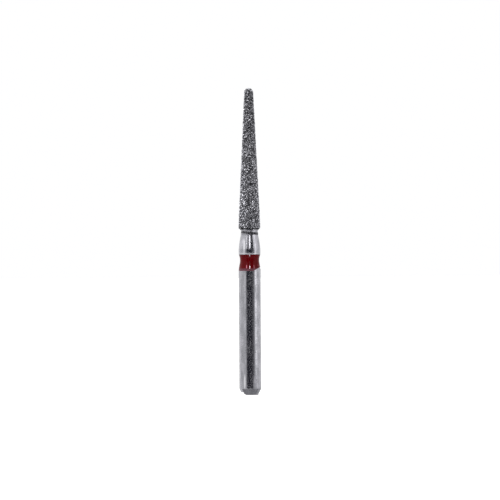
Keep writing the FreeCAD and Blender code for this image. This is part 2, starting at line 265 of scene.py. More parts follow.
@dataclass(frozen=True)
class TurnedStainless(Finish):
    """Martensitic stainless steel, turned and centreless ground.

    The grinding leaves fine rings that blur a reflection a little, up and down more than
    round the shank, so the tent shows in it as soft upright stripes. Handling leaves long
    dull flecks, fine scratches and a few matt pits, which speckle the dark stripe. Painted
    highlights make the steel's colour lighter near the flat end, on the ogive and along the
    edge over the band. Handling has dulled it near the flat end, on that edge and on the neck.
    """

    name: str = "turned_stainless_steel"
    steel: Shade = Shade("C0BFC5")
    dull_steel: Shade = Shade("9F9FA4")
    # Colour of the painted highlights below
    highlight_steel: Shade = Shade("DEDDE1")
    roughness: tuple[float, float] = (0.155, 0.25)
    fleck_size: float = 0.3
    fleck_stretch: tuple[float, float, float] = (1, 1, 0.35)
    fleck_span: tuple[float, float] = (0.35, 0.68)
    # The scratches are 0.01 mm wide, too fine to show; these are as coarse as needed
    scratch_size: float = 0.1
    scratch_span: tuple[float, float] = (0.46, 0.62)
    scratch_roughness: float = 0.1
    scratch_dulling: float = 0.6
    # The chuck scratches the shank, and its reach ends at the foot of the ogive
    chuck_reach: tuple[float, float] = (10.3, 10.6)
    scratches_beyond: float = 0.5
    pit_pitch: float = 0.5
    pit_radius: float = 0.045
    pit_roughness: float = 0.55
    # Where a pit's edge starts and ends, in its radius, and the share of cells without one
    pit_edge: tuple[float, float] = (0.6, 1.4)
    empty_cells: float = 0.6
    # Grinding rings are 0.01 mm apart, and are drawn coarser in the same way
    ring_pitch: float = 0.06
    ring_stretch: tuple[float, float, float] = (0.12, 0.12, 1)
    ring_depth: float = 0.0006
    # Painted highlights: patches of lighter steel colour on the side facing the camera
    painted_highlights: tuple[Patch, ...] = (
        Patch((-0.405, -0.68, 0.95), (0.085, 0.14, 0.6), 0.95),
        Patch((-0.395, -0.66, 10.95), (0.055, 0.16, 0.78), 0.95),
        Patch((-0.1, -0.6, 10.37), (0.85, 0.6, 0.07), 0.7),
    )
    dulled: tuple[Patch, ...] = (
        Patch((0.36, -0.7, 0.85), (0.17, 0.25, 0.8), 0.3),
        Patch((0.0, -0.62, 12.03), (0.5, 0.5, 0.06), 0.4),
        Patch((-0.07, -0.57, 11.79), (0.2, 0.4, 0.07), 0.5),
        Patch((0.0, -0.7, 10.37), (0.4, 0.4, 0.06), 0.2),
    )

    def shader(self, tree: bpy.types.NodeTree) -> bpy.types.Node:
        """Adds the steel's nodes.

        Args:
            tree: The material's tree.

        Returns:
            The shader.
        """
        place = object_millimetres(tree)
        clouds = add_node(
            tree,
            "ShaderNodeTexNoise",
            {
                "Vector": object_millimetres(tree, self.fleck_stretch),
                "Scale": 1 / self.fleck_size,
                "Detail": 3.0,
            },
        )
        fleck = add_node(
            tree,
            "ShaderNodeMapRange",
            {0: clouds, 1: self.fleck_span[0], 2: self.fleck_span[1]},
            interpolation_type="SMOOTHSTEP",
        )
        scratch = self._scratches(tree, place)
        dulling = add_node(
            tree,
            "ShaderNodeMath",
            {0: scratch, 1: self.scratch_dulling, 2: fleck},
            operation="MULTIPLY_ADD",
            use_clamp=True,
        )
        plain = add_node(
            tree,
            "ShaderNodeMix",
            {0: dulling, 6: self.steel.linear(), 7: self.dull_steel.linear()},
            data_type="RGBA",
        )
        # Painted highlights: the patches lighten the steel's colour
        painted_highlights = patch_mask(tree, place, self.painted_highlights)
        colour = add_node(
            tree,
            "ShaderNodeMix",
            {0: painted_highlights, 6: plain.outputs[2], 7: self.highlight_steel.linear()},
            data_type="RGBA",
        )
        polish = add_node(
            tree, "ShaderNodeMapRange", {0: fleck, 3: self.roughness[0], 4: self.roughness[1]}
        )
        scratched = add_node(
            tree,
            "ShaderNodeMath",
            {0: scratch, 1: self.scratch_roughness, 2: polish},
            operation="MULTIPLY_ADD",
        )
        dulled = add_node(
            tree,
            "ShaderNodeMath",
            {0: scratched, 1: patch_mask(tree, place, self.dulled)},
            operation="ADD",
        )
        roughness = add_node(
            tree,
            "ShaderNodeMath",
            {0: self._pits(tree, place), 1: self.pit_roughness, 2: dulled},
            operation="MULTIPLY_ADD",
        )
        rings = add_node(
            tree,
            "ShaderNodeTexNoise",
            {
                "Vector": object_millimetres(tree, self.ring_stretch),
                "Scale": 1 / self.ring_pitch,
                "Detail": 2.0,
            },
        )
        bump = add_node(
            tree,
            "ShaderNodeBump",
            {"Strength": 1.0, "Distance": self.ring_depth * MM, "Height": rings},
        )
        return add_node(
            tree,
            "ShaderNodeBsdfPrincipled",
            {
                "Base Color": colour.outputs[2],
                "Metallic": 1.0,
                "Roughness": roughness,
                "Normal": bump,
            },
        )

    def _scratches(
        self, tree: bpy.types.NodeTree, place: bpy.types.NodeSocket
    ) -> bpy.types.NodeSocket:
        """Adds the mask of the fine scratches, fainter where the chuck doesn't reach.

        Args:
            tree: The material's tree.
            place: The piece's coordinates, in millimetres.

        Returns:
            The output that is up to 1 on a scratch and 0 elsewhere.
        """
        grain = add_node(
            tree,
            "ShaderNodeTexNoise",
            {"Vector": place, "Scale": 1 / self.scratch_size, "Detail": 1.0},
        )
        parts = add_node(tree, "ShaderNodeSeparateXYZ", {0: place})
        low, high = self.chuck_reach
        share = add_node(
            tree,
            "ShaderNodeMapRange",
            {0: parts.outputs["Z"], 1: low, 2: high, 3: 1.0, 4: self.scratches_beyond},
            interpolation_type="SMOOTHSTEP",
        )
        scratch = add_node(
            tree,
            "ShaderNodeMapRange",
            {0: grain, 1: self.scratch_span[0], 2: self.scratch_span[1], 4: share},
            interpolation_type="SMOOTHSTEP",
        )
        return scratch.outputs[0]

    def _pits(
        self, tree: bpy.types.NodeTree, place: bpy.types.NodeSocket
    ) -> bpy.types.NodeSocket:
        """Adds the mask of the few matt pits in the ground surface.

        Args:
            tree: The material's tree.
            place: The piece's coordinates, in millimetres.

        Returns:
            The output that is 1 in a pit and 0 elsewhere.
        """
        cells = add_node(
            tree, "ShaderNodeTexVoronoi", {"Vector": place, "Scale": 1 / self.pit_pitch}
        )
        reach = self.pit_radius / self.pit_pitch
        start, end = (share * reach for share in self.pit_edge)
        dot = add_node(
            tree,
            "ShaderNodeMapRange",
            {0: cells.outputs["Distance"], 1: start, 2: end, 3: 1.0, 4: 0.0},
        )
        lot = add_node(tree, "ShaderNodeSeparateXYZ", {0: cells.outputs["Color"]})
        chosen = add_node(
            tree,
            "ShaderNodeMath",
            {0: lot.outputs["X"], 1: self.empty_cells},
            operation="GREATER_THAN",
        )
        pit = add_node(tree, "ShaderNodeMath", {0: dot, 1: chosen}, operation="MULTIPLY")
        return pit.outputs[0]


@dataclass(frozen=True)
class NeckShadeBand(Finish):
    """Painted shade: a dark band on the steel neck, where the head's shadow and reflection fall.

    It is a matt dark grey beside the ground steel, with lighter patches in it.
    """

    # Painted shade: the material of the dark band on the neck
    name: str = "painted_neck_shade"
    dark: Shade = Shade("2C2C2F")
    light: Shade = Shade("68686C")
    roughness: float = 0.42
    patch_size: float = 0.16
    patch_span: tuple[float, float] = (0.35, 0.7)

    def shader(self, tree: bpy.types.NodeTree) -> bpy.types.Node:
        """Adds the flash's nodes.

        Args:
            tree: The material's tree.

        Returns:
            The shader.
        """
        patches = add_node(
            tree,
            "ShaderNodeTexNoise",
            {"Vector": object_millimetres(tree), "Scale": 1 / self.patch_size, "Detail": 4.0},
        )
        spread = add_node(
            tree,
            "ShaderNodeMapRange",
            {0: patches, 1: self.patch_span[0], 2: self.patch_span[1]},
            interpolation_type="SMOOTHSTEP",
        )
        colour = add_node(
            tree,
            "ShaderNodeMix",
            {0: spread, 6: self.dark.linear(), 7: self.light.linear()},
            data_type="RGBA",
        )
        return add_node(
            tree,
            "ShaderNodeBsdfPrincipled",
            {"Base Color": colour.outputs[2], "Metallic": 1.0, "Roughness": self.roughness},
        )


@dataclass(frozen=True)
class BandLacquer(Finish):
    """Red lacquer, brushed on while the bur turns and left to dry.

    The film is deep red and glossy. It is thin where it runs out over the lip of the
    recess, and the steel greys it there. Painted highlights on the side facing the camera
    are small metallic spots of pink and of steel colour, so that the lamps glint in them.
    """

    name: str = "red_lacquer"
    red: Shade = Shade("500307")
    thin_red: Shade = Shade("5E3A42")
    roughness: float = 0.13
    specular_level: float = 0.075
    # The film thins out between these heights, which waver by this much round the bur
    thin_span: tuple[float, float] = (9.19, 9.35)
    thin_waver: float = 0.1
    # Painted highlights: metallic spots of steel colour where white glints show
    white_highlight_steel: Shade = Shade("CFC0C5")
    white_highlight_spots: tuple[Patch, ...] = (
        Patch((0.005, -0.72, 9.365), (0.045, 0.2, 0.15), 0.75),
        Patch((0.0, -0.72, 10.24), (0.032, 0.3, 0.11), 0.8),
    )
    # Painted highlights: metallic pink spots where pink glints show
    pink_highlight_red: Shade = Shade("D18192")
    pink_highlight_spots: tuple[Patch, ...] = (
        Patch((-0.22, -0.7, 9.39), (0.058, 0.2, 0.16), 0.42),
        Patch((0.32, -0.68, 9.4), (0.07, 0.2, 0.16), 0.2),
        Patch((0.63, -0.44, 9.5), (0.05, 0.2, 0.1), 0.15),
    )
    streak_size: float = 0.3
    streak_depth: float = 0.0004

    def shader(self, tree: bpy.types.NodeTree) -> bpy.types.Node:
        """Adds the lacquer's nodes.

        Args:
            tree: The material's tree.

        Returns:
            The shader.
        """
        place = object_millimetres(tree)
        streaks = add_node(
            tree,
            "ShaderNodeTexNoise",
            {"Vector": place, "Scale": 1 / self.streak_size, "Detail": 1.0},
        )
        parts = add_node(tree, "ShaderNodeSeparateXYZ", {0: place})
        height = add_node(
            tree,
            "ShaderNodeMath",
            {0: streaks, 1: self.thin_waver, 2: parts.outputs["Z"]},
            operation="MULTIPLY_ADD",
        )
        low, high = (level + self.thin_waver / 2 for level in self.thin_span)
        thin = add_node(
            tree,
            "ShaderNodeMapRange",
            {0: height, 1: low, 2: high},
            interpolation_type="SMOOTHSTEP",
        )
        colour = add_node(
            tree,
            "ShaderNodeMix",
            {0: thin, 6: self.thin_red.linear(), 7: self.red.linear()},
            data_type="RGBA",
        )
        # Painted highlights: the spots turn metallic, and pink or steel-coloured
        pink_highlight_spots = patch_mask(tree, place, self.pink_highlight_spots)
        white_highlight_spots = patch_mask(tree, place, self.white_highlight_spots)
        highlight_metallic = add_node(tree, "ShaderNodeMath", {0: pink_highlight_spots, 1: white_highlight_spots}, operation="MAXIMUM")
        with_pink_highlights = add_node(
            tree,
            "ShaderNodeMix",
            {0: pink_highlight_spots, 6: colour.outputs[2], 7: self.pink_highlight_red.linear()},
            data_type="RGBA",
        )
        shown = add_node(
            tree,
            "ShaderNodeMix",
            {0: white_highlight_spots, 6: with_pink_highlights.outputs[2], 7: self.white_highlight_steel.linear()},
            data_type="RGBA",
        )
        bump = add_node(
            tree,
            "ShaderNodeBump",
            {"Strength": 1.0, "Distance": self.streak_depth * MM, "Height": streaks},
        )
        return add_node(
            tree,
            "ShaderNodeBsdfPrincipled",
            {
                "Base Color": shown.outputs[2],
                "Metallic": highlight_metallic,
                "Roughness": self.roughness,
                "Specular IOR Level": self.specular_level,
                "Normal": bump,
            },
        )


@dataclass(frozen=True)
class CoatShade:
    """How the coat darkens along its height, in millimetres and as shares of its colour.

    Its foot, under the shoulder, is painted dark as painted shade. The part towards the tip
    is darker.
    """

    # Painted shade at the coat's foot, under its shoulder
    foot: tuple[float, float] = (12.16, 12.3)
    foot_shade_share: float = 0.22
    # Darker towards the tip
    toward_tip: tuple[float, float] = (13.5, 19.5)
    toward_tip_share: float = 0.72

    def over(
        self, tree: bpy.types.NodeTree, colour: bpy.types.NodeSocket
    ) -> bpy.types.NodeSocket:
        """Adds the shade over a colour.

        Args:
            tree: The material's tree.
            colour: The output that carries the plain colour.

        Returns:
            The output that carries the shaded colour.
        """
        parts = add_node(tree, "ShaderNodeSeparateXYZ", {0: object_millimetres(tree)})
        height = parts.outputs["Z"]
        # Painted shade at the foot
        foot = add_node(
            tree,
            "ShaderNodeMapRange",
            {0: height, 1: self.foot[0], 2: self.foot[1], 3: self.foot_shade_share, 4: 1.0},
            interpolation_type="SMOOTHSTEP",
        )
        toward_tip = add_node(
            tree,
            "ShaderNodeMapRange",
            {0: height, 1: self.toward_tip[0], 2: self.toward_tip[1], 3: 1.0, 4: self.toward_tip_share},
            interpolation_type="SMOOTHSTEP",
        )
        share = add_node(tree, "ShaderNodeMath", {0: foot, 1: toward_tip}, operation="MULTIPLY")
        shaded = add_node(
            tree, "ShaderNodeVectorMath", {0: colour, "Scale": share}, operation="SCALE"
        )
        return shaded.outputs[0]


@dataclass(frozen=True)
class NickelBond(Finish):
    """Nickel, electroplated round the grit.

    The plating is nodular and matt. Its colours are painted dark as shade between the grains,
    and darkest in the hollows between the nodules.
    """

    name: str = "electroplated_nickel"
    # Painted shade: both colours are dark for the shade between grains, and the pit colour is
    # darkest, in the hollows
    pit: Shade = Shade("2E2E31")
    shaded_nodule: Shade = Shade("616165")
    roughness: float = 0.45
    nodule_size: float = 0.05
    nodule_height: float = 0.006
    shade: CoatShade = CoatShade()

    def shader(self, tree: bpy.types.NodeTree) -> bpy.types.Node:
        """Adds the nickel's nodes.

        Args:
            tree: The material's tree.

        Returns:
            The shader.
        """
        nodules = add_node(
            tree,
            "ShaderNodeTexVoronoi",
            {"Vector": object_millimetres(tree), "Scale": 1 / self.nodule_size},
        )
        distance = nodules.outputs["Distance"]
        colour = add_node(
            tree,
            "ShaderNodeMix",
            {0: distance, 6: self.shaded_nodule.linear(), 7: self.pit.linear()},
            data_type="RGBA",
        )
        bump = add_node(
            tree,
            "ShaderNodeBump",
            {"Strength": 1.0, "Distance": self.nodule_height * MM, "Height": distance},
            invert=True,
        )
        return add_node(
            tree,
            "ShaderNodeBsdfPrincipled",
            {
                "Base Color": self.shade.over(tree, colour.outputs[2]),
                "Metallic": 1.0,
                "Roughness": self.roughness,
                "Normal": bump,
            },
        )


@dataclass(frozen=True)
class DiamondGrit(Finish):
    """Crushed diamond with a thin film of nickel on many of its grains.

    Grain by grain it runs from nearly black to light grey, and a facet that meets the key
    lamp glints.
    """

    name: str = "diamond_grit"
    darkest: Shade = Shade("34343A")
    lightest: Shade = Shade("F2F2F8")
    # More grains are dark than light, by this power of their tone
    tone_power: float = 1.4
    tone_attribute: str = "tone"
    film: tuple[float, float] = (0.7, 1.0)
    roughness: tuple[float, float] = (0.24, 0.4)
    # Diamond's own is 2.42, and the film takes some of its sparkle
    filmed_ior: float = 2.0
    shade: CoatShade = CoatShade()

    def shader(self, tree: bpy.types.NodeTree) -> bpy.types.Node:
        """Adds the grit's nodes.

        Args:
            tree: The material's tree.

        Returns:
            The shader.
        """
        attribute = add_node(
            tree,
            "ShaderNodeAttribute",
            attribute_type="GEOMETRY",
            attribute_name=self.tone_attribute,
        )
        tone = attribute.outputs["Fac"]
        contrast = add_node(
            tree, "ShaderNodeMath", {0: tone, 1: self.tone_power}, operation="POWER"
        )
        colour = add_node(
            tree,
            "ShaderNodeMix",
            {0: contrast, 6: self.darkest.linear(), 7: self.lightest.linear()},
            data_type="RGBA",
        )
        film = add_node(
            tree, "ShaderNodeMapRange", {0: contrast, 3: self.film[0], 4: self.film[1]}
        )
        roughness = add_node(
            tree, "ShaderNodeMapRange", {0: tone, 3: self.roughness[1], 4: self.roughness[0]}
        )
        return add_node(
            tree,
            "ShaderNodeBsdfPrincipled",
            {
                "Base Color": self.shade.over(tree, colour.outputs[2]),
                "Metallic": film,
                "Roughness": roughness,
                "IOR": self.filmed_ior,
            },
        )


@dataclass(frozen=True)
class TentCloth(Finish):
    """White cloth under the bur.

    To the camera and in reflections more than half of its brightness is its own, so it is
    as white as the photograph's background and still keeps the bur's soft shadow.
    """

    name: str = "white_cloth"
    white: Shade = Shade("F3F3F3")
    own_share: float = 0.55
    own_level: float = 1.15

    def shader(self, tree: bpy.types.NodeTree) -> bpy.types.Node:
        """Adds the cloth's nodes.

        Args:
            tree: The material's tree.

        Returns:
            The shader.
        """
        diffuse = add_node(tree, "ShaderNodeBsdfDiffuse", {"Color": self.white.linear()})
        glow = add_node(tree, "ShaderNodeEmission", {"Strength": self.own_level})
        seen = seen_directly(tree)
        share = add_node(
            tree, "ShaderNodeMath", {0: seen, 1: self.own_share}, operation="MULTIPLY"
        )
        return add_node(tree, "ShaderNodeMixShader", {0: share, 1: diffuse, 2: glow})


def arc_stops(centre: Stop, radius: float, start: float, end: float, steps: int) -> list[Stop]:
    """Works out the rings that follow an arc of a turned outline.

    Args:
        centre: The arc's centre.
        radius: Its radius, in millimetres.
        start: Where it starts, in degrees from straight out.
        end: Where it ends, in the same way.
        steps: How many rings follow the first.

    Returns:
        The rings in order, with both ends.
    """
    stops = []
    for step in range(steps + 1):
        angle = math.radians(start + (end - start) * step / steps)
        stops.append(
            Stop(centre.radius + radius * math.cos(angle), centre.height + radius * math.sin(angle))
        )
    return stops


def chord_centre(low: Stop, high: Stop, radius: float) -> Stop:
    """Finds the centre of an arc between two rings, on the side of the axis.

    Args:
        low: The arc's first ring.
        high: Its last ring.
        radius: Its radius, in millimetres.

    Returns:
        The centre.
    """
    across = high.radius - low.radius
    rise = high.height - low.height
    chord = math.hypot(across, rise)
    reach = math.sqrt(radius**2 - (chord / 2) ** 2)
    return Stop(
        (low.radius + high.radius) / 2 - rise / chord * reach,
        (low.height + high.height) / 2 + across / chord * reach,
    )


def angle_from(centre: Stop, stop: Stop) -> float:
    """Gives the direction from an arc's centre to a ring, in degrees from straight out."""
    return math.degrees(math.atan2(stop.height - centre.height, stop.radius - centre.radius))


def pick(piece: bpy.types.Object, wanted: Callable[[Vector, Vector], bool]) -> None:
    """Selects some faces of a mesh in edit mode, and nothing else.

    Args:
        piece: The object that is being edited.
        wanted: Takes a face's middle and normal, and says whether it is selected.
    """
    mesh = bmesh.from_edit_mesh(piece.data)
    bpy.ops.mesh.select_all(action="DESELECT")
    for face in mesh.faces:
        if wanted(face.calc_center_median(), face.normal):
            face.select_set(True)
    bmesh.update_edit_mesh(piece.data)


def turn(name: str, stops: Sequence[Stop], ends: Ends, segments: int = 96) -> bpy.types.Object:
    """Turns a form: its half outline is drawn point by point and swept round the axis.

    Args:
        name: What the piece is called.
        stops: The rings in order.
        ends: How the mesh closes.
        segments: How many edges each ring has.

    Returns:
        The new piece, in millimetres.
    """
    outline = list(stops)
    if ends is Ends.SOLID:
        outline = [Stop(0, stops[0].height), *stops]
    elif ends is Ends.LOOP:
        outline = [*stops, stops[0]]
    first = outline[0]
    bpy.ops.object.select_all(action="DESELECT")
    bpy.ops.mesh.primitive_plane_add(size=1, location=(0, 0, 0))
    piece = bpy.context.object
    piece.name = piece.data.name = name
    bpy.ops.object.mode_set(mode="EDIT")
    bpy.ops.mesh.select_all(action="SELECT")
    bpy.ops.mesh.merge(type="CENTER")
    bpy.ops.transform.translate(value=(first.radius, 0, first.height))
    for before, after in zip(outline, outline[1:]):
        step = (after.radius - before.radius, 0, after.height - before.height)
        bpy.ops.mesh.extrude_region_move(TRANSFORM_OT_translate={"value": step})
    if ends is Ends.LOOP:
        bpy.ops.mesh.select_all(action="SELECT")
        bpy.ops.mesh.remove_doubles(threshold=MERGE_DISTANCE)
    bpy.ops.object.mode_set(mode="OBJECT")
    # Unlike the spin tool, the modifier makes its faces in the same order each time
    bpy.ops.object.modifier_add(type="SCREW")
    lathe = piece.modifiers[-1]
    lathe.angle = FULL_TURN
    lathe.steps = segments
    lathe.render_steps = segments
    lathe.use_merge_vertices = True
    lathe.merge_threshold = MERGE_DISTANCE
    lathe.use_normal_calculate = True
    lathe.use_smooth_shade = False
    bpy.ops.object.modifier_apply(modifier=lathe.name)
    bpy.ops.object.mode_set(mode="EDIT")
    bpy.ops.mesh.select_all(action="SELECT")
    bpy.ops.mesh.normals_make_consistent(inside=False)
    bpy.ops.object.mode_set(mode="OBJECT")
    return piece


def cut_across(
    piece: bpy.types.Object,
    at: Sequence[float],
    normal: Sequence[float],
    drop: Facing = Facing.NEITHER,
) -> None:
    """Cuts what is selected in edit mode along a plane.

    Args:
        piece: The object that is being edited.
        at: A point of the plane, in millimetres.
        normal: Where the plane faces.
        drop: Which side is thrown away, and the cut is then filled.
    """
    behind = drop is Facing.BEHIND
    bpy.ops.mesh.bisect(
        plane_co=at,
        plane_no=normal,
        use_fill=behind,
        clear_inner=behind,
        threshold=MERGE_DISTANCE,
    )
    bmesh.update_edit_mesh(piece.data)


def finish_piece(piece: bpy.types.Object) -> None:
    """Brings a piece from millimetres to metres and hangs it on the bur.

    Args:
        piece: The piece, modelled in millimetres round the origin.
    """
    bpy.ops.object.select_all(action="DESELECT")
    piece.select_set(True)
    bpy.context.view_layer.objects.active = piece
    piece.scale = (MM, MM, MM)
    bpy.ops.object.transform_apply(location=False, rotation=False, scale=True)
    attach(piece, ROOT_BODY)


@dataclass(frozen=True)
class TaperForm:
    """The tapered core, and any surface that wraps it at a distance. Millimetres."""

    neck_radius: float = 0.636
    corner: Stop = Stop(0.665, 12.3129)
    corner_radius: float = 0.04
    corner_steps: int = 8
    shoulder_angle: float = 45
    nose_height: float = 22.18
    nose_radius: float = 0.23
    nose_steps: int = 13
    # The last ring before the pole, in degrees from straight out
    nose_end: float = 88

    def stops(self, growth: float) -> list[Stop]:
        """Works out the rings from the neck to the tip.

        Args:
            growth: How far outside the steel the surface lies.

        Returns:
            The rings, up to the pole at the tip.
        """
        slope = math.radians(self.shoulder_angle)
        nose = Stop(0, self.nose_height)
        corner_radius = self.corner_radius + growth
        nose_radius = self.nose_radius + growth
        rise = self.nose_height - self.corner.height
        apart = math.hypot(self.corner.radius, rise)
        lean = math.acos((nose_radius - corner_radius) / apart)
        lean = math.degrees(lean - math.atan2(rise, self.corner.radius))
        step = (self.corner.radius - self.neck_radius) * math.sin(slope)
        foot = self.corner.height - (corner_radius + step) / math.cos(slope)
        shoulder = self.shoulder_angle - 90
        stops = [Stop(self.neck_radius, foot)]
        stops += arc_stops(self.corner, corner_radius, shoulder, lean, self.corner_steps)
        stops += arc_stops(nose, nose_radius, lean, self.nose_end, self.nose_steps)
        stops.append(Stop(0, self.nose_height + nose_radius))
        return stops


@dataclass(frozen=True)
class RecessForm:
    """The colour recess, and any surface that follows its waist. Millimetres."""

    foot: float = 9.23
    head: float = 10.28
    waist_centre: Stop = Stop(1.683, 9.87)
    waist_radius: float = 1.03

    def head_angle(self, radius: float) -> float:
        """Gives where an arc round the waist's centre meets the recess's head, in degrees."""
        return 180 - math.degrees(math.asin((self.head - self.waist_centre.height) / radius))


@dataclass
class TurnedBlank:
    """The one-piece steel blank, from the flat end to the core under the grit. Millimetres.

    The shank is 0.002 mm under the CAD's on its radius, so that the lacquer that runs over
    the lip of the recess stays within the shank's real size.
    """

    shank_radius: float = 0.798
    end_radius: float = 0.57
    end_round: float = 0.12
    end_round_height: float = 0.4884
    end_round_steps: int = 6
    chamfer_angle: float = 26.565
    lip_radius: float = 0.766
    flank_end: Stop = Stop(0.6755, 9.656)
    waist_steps: int = 12
    ogive_foot_radius: float = 0.771
    ogive_radius: float = 0.79
    ogive_land: tuple[float, float] = (10.36, 10.65)
    ogive_arc: float = 8.3
    ogive_steps: int = 10
    neck: Stop = Stop(0.636, 11.7)
    groove_centre: Stop = Stop(0.676, 11.97)
    groove_radius: float = 0.075
    groove_steps: int = 14
    # Rings this near a curve keep its shading off the long straight faces
    shank_guard: float = 0.05
    land_guard: float = 0.03
    neck_guard: float = 0.02
    nick_face: float = -0.29
    nick_wall: float = -0.47
    nick_bevel: float = 0.1
    nick_ledge: float = 0.19
    cut_overrun: float = 0.2
    # Height and tilt of the two planes that bound the band of painted shade on the neck
    neck_shade_low: tuple[float, float] = (11.79, 6.6)
    neck_shade_high: tuple[float, float] = (11.955, 4.6)
    # The faces of the neck lie under this height and outside this radius
    neck_shade_ceiling: float = 12.1
    neck_shade_inside: float = 0.5
    taper: TaperForm = TaperForm()
    recess: RecessForm = RecessForm()
    steel: TurnedStainless = TurnedStainless()
    # The dark band of painted shade on the neck
    neck_shade: NeckShadeBand = NeckShadeBand()

    def build(self) -> bpy.types.Object:
        """Models and dresses the blank.

        Returns:
            The finished piece.
        """
        blank = turn("turned_blank", self._outline(), Ends.SOLID)
        self._nick(blank)
        blank.data.materials.append(self.steel.make())
        # Second slot: the dark band of painted shade on the neck
        blank.data.materials.append(self.neck_shade.make())
        self._mark_neck_shade(blank)
        bpy.ops.object.shade_smooth_by_angle(angle=SMOOTH_BELOW)
        finish_piece(blank)
        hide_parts("steel_blank")
        return blank

    def _outline(self) -> list[Stop]:
        """Works out the blank's outline.

        Returns:
            The rings, from the flat end to the tip of the core.
        """
        end_round = Stop(self.shank_radius - self.end_round, self.end_round_height)
        waist = self.recess.waist_centre
        waist_radius = self.recess.waist_radius
        flank_angle = angle_from(waist, self.flank_end) % 360
        head_angle = self.recess.head_angle(waist_radius)
        land_low, land_high = self.ogive_land
        land_head = Stop(self.ogive_radius, land_high)
        ogive = chord_centre(land_head, self.neck, self.ogive_arc)
        ogive_angles = [angle_from(ogive, ring) for ring in (land_head, self.neck)]
        mouth = math.degrees(
            math.acos((self.groove_centre.radius - self.neck.radius) / self.groove_radius)
        )
        stops = [Stop(self.end_radius, 0)]
        stops += arc_stops(
            end_round, self.end_round, -self.chamfer_angle, 0, self.end_round_steps
        )
        stops.append(Stop(self.shank_radius, self.end_round_height + self.shank_guard))
        stops.append(Stop(self.shank_radius, self.recess.foot))
        stops.append(Stop(self.lip_radius, self.recess.foot))
        stops += arc_stops(waist, waist_radius, flank_angle, head_angle, self.waist_steps)
        stops.append(Stop(self.ogive_foot_radius, self.recess.head))
        stops.append(Stop(self.ogive_radius, land_low))
        stops.append(Stop(self.ogive_radius, land_high - self.land_guard))
        stops += arc_stops(ogive, self.ogive_arc, *ogive_angles, self.ogive_steps)
        stops.append(Stop(self.neck.radius, self.neck.height + self.neck_guard))
        stops += arc_stops(
            self.groove_centre, self.groove_radius, 180 + mouth, 180 - mouth, self.groove_steps
        )
        stops += self.taper.stops(0)
        return stops

    def _nick(self, blank: bpy.types.Object) -> None:
        """Breaks the nick out of the flat end's edge with a bevelled block.

        Args:
            blank: The turned blank.
        """
        outside = -self.shank_radius - self.cut_overrun
        below = -self.cut_overrun
        width = self.nick_wall - outside
        depth = 2 * (self.shank_radius + self.cut_overrun)
        height = self.nick_ledge - below
        bpy.ops.object.select_all(action="DESELECT")
        bpy.ops.mesh.primitive_cube_add(
            size=1,
            location=(outside + width / 2, 0, below + height / 2),
            scale=(width, depth, height),
        )
        block = bpy.context.object
        bpy.ops.object.transform_apply(location=True, rotation=False, scale=True)
        bpy.ops.object.mode_set(mode="EDIT")
        bpy.ops.mesh.select_all(action="SELECT")
        cut_across(block, (0, 0, self.nick_bevel), (0, 0, 1))
        pick(block, lambda middle, normal: normal.x > ALONG_AXIS and middle.z < self.nick_bevel)
        bpy.ops.mesh.extrude_region_move(
            TRANSFORM_OT_translate={"value": (self.nick_face - self.nick_wall, 0, 0)}
        )
        share = -below / (self.nick_bevel - below)
        bpy.ops.transform.resize(value=(1, 1, share), center_override=(0, 0, below))
        bpy.ops.mesh.select_all(action="SELECT")
        bpy.ops.mesh.normals_make_consistent(inside=False)
        bpy.ops.object.mode_set(mode="OBJECT")

        bpy.ops.object.select_all(action="DESELECT")
        blank.select_set(True)
        bpy.context.view_layer.objects.active = blank
        bpy.ops.object.modifier_add(type="BOOLEAN")
        cut = blank.modifiers[-1]
        cut.operation = "DIFFERENCE"
        cut.solver = "EXACT"
        cut.object = block
        bpy.ops.object.modifier_apply(modifier=cut.name)
        bpy.data.meshes.remove(block.data)

    def _mark_neck_shade(self, blank: bpy.types.Object) -> None:
        """Cuts the slanting edges of the band of painted shade into the neck and gives it its dark
        material.

        Args:
            blank: The blank, with the steel in its first slot and the painted neck shade in its
                second.
        """
        planes = []
        for height, tilt in (self.neck_shade_low, self.neck_shade_high):
            angle = math.radians(tilt)
            planes.append((Vector((0, 0, height)), Vector((math.sin(angle), 0, math.cos(angle)))))

        def on_neck(middle: Vector, normal: Vector) -> bool:
            """Says whether a face is on the outside of the neck."""
            low_enough = self.neck.height < middle.z < self.neck_shade_ceiling
            return low_enough and middle.xy.length > self.neck_shade_inside

        def in_neck_shade(middle: Vector, normal: Vector) -> bool:
            """Says whether a face is between the two cuts."""
            above = [(middle - at).dot(facing) > 0 for at, facing in planes]
            return on_neck(middle, normal) and above == [True, False]

        bpy.ops.object.mode_set(mode="EDIT")
        for at, facing in planes:
            pick(blank, on_neck)
            cut_across(blank, at, facing)
        pick(blank, in_neck_shade)
        blank.active_material_index = 1
        bpy.ops.object.material_slot_assign()
        bpy.ops.object.mode_set(mode="OBJECT")


